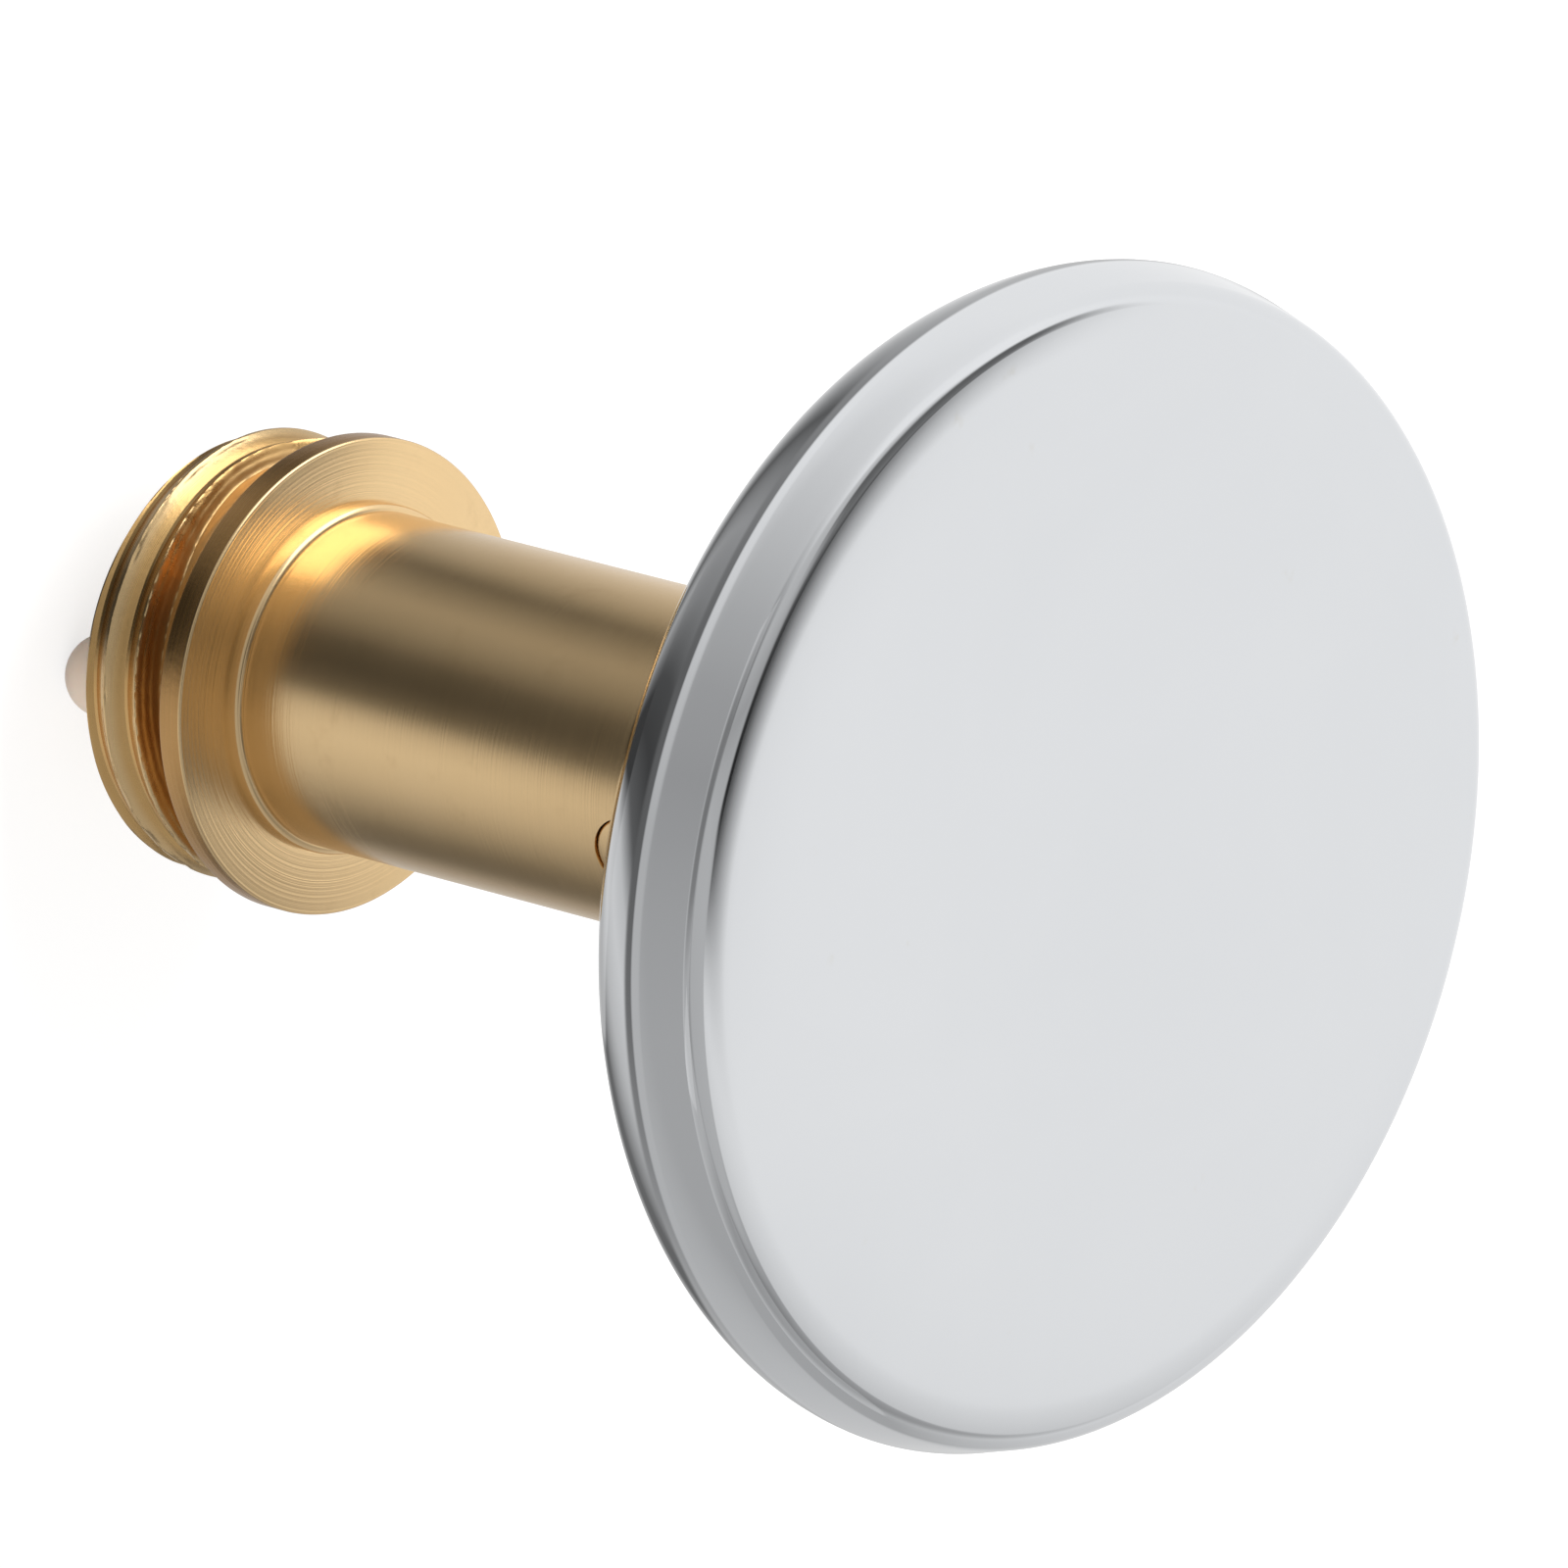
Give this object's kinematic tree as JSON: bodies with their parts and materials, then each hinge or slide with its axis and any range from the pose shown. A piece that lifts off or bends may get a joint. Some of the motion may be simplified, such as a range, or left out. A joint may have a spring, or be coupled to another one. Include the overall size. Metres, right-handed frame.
{
  "type": "basin waste push plug",
  "caption": "Push-to-close plug of a basin waste: round chromed cap on a sprung shaft in a flanged brass tube with a short outside thread.",
  "frame": {"origin": "on the plug's axis, in the plane of the flange's underside, where the plug is seated in the waste's crosspiece", "axes": "+Z along the plug's axis towards the cap; +X through the first of the two pins that hold the guide bush; +Y completes the right-handed frame"},
  "size_m": [0.0412, 0.0412, 0.0455],
  "materials": {
    "brass": "turned, satin",
    "chrome": "polished chrome plate",
    "acetal_white": "moulded, pale",
    "spring_steel": "bright stainless steel",
    "rubber_black": "matt moulded rubber"
  },
  "bodies": {
    "housing": {"body": "brass", "guide_bush": "acetal_white", "bush_pin_1": "brass", "bush_pin_2": "brass", "spring_seat": "acetal_white", "spacer_sleeve": "acetal_white", "return_spring": "spring_steel"},
    "swivel": {"thrust_washer": "spring_steel"},
    "plunger": {"cap": "chrome", "cap_seal": "rubber_black", "cap_stud": "brass", "cam_shaft": "acetal_white", "spring_washer": "spring_steel"},
    "indexer": {"index_ring": "acetal_white", "index_pin_1": "spring_steel", "index_pin_2": "spring_steel"}
  },
  "joints": [
    {"name": "cap_swivel", "type": "hinge", "parent": "housing", "child": "swivel", "pos_m": [0, 0, 0], "axis": [0, 0, 1], "continuous": true},
    {"name": "cap_press", "type": "slide", "parent": "swivel", "child": "plunger", "axis": [0, 0, 1], "range_m": [-0.007, 0], "stiffness_N_per_m": 1800, "springref_m": 0.0045, "deforming": ["return_spring"]},
    {"name": "index_turn", "type": "hinge", "parent": "swivel", "child": "indexer", "pos_m": [0, 0, 0], "axis": [0, 0, 1], "range_deg": [0, 45]}
  ],
  "couplings": [
    {"joint": "index_turn", "follows": "cap_press", "rad_per_m": -112.2}
  ]
}
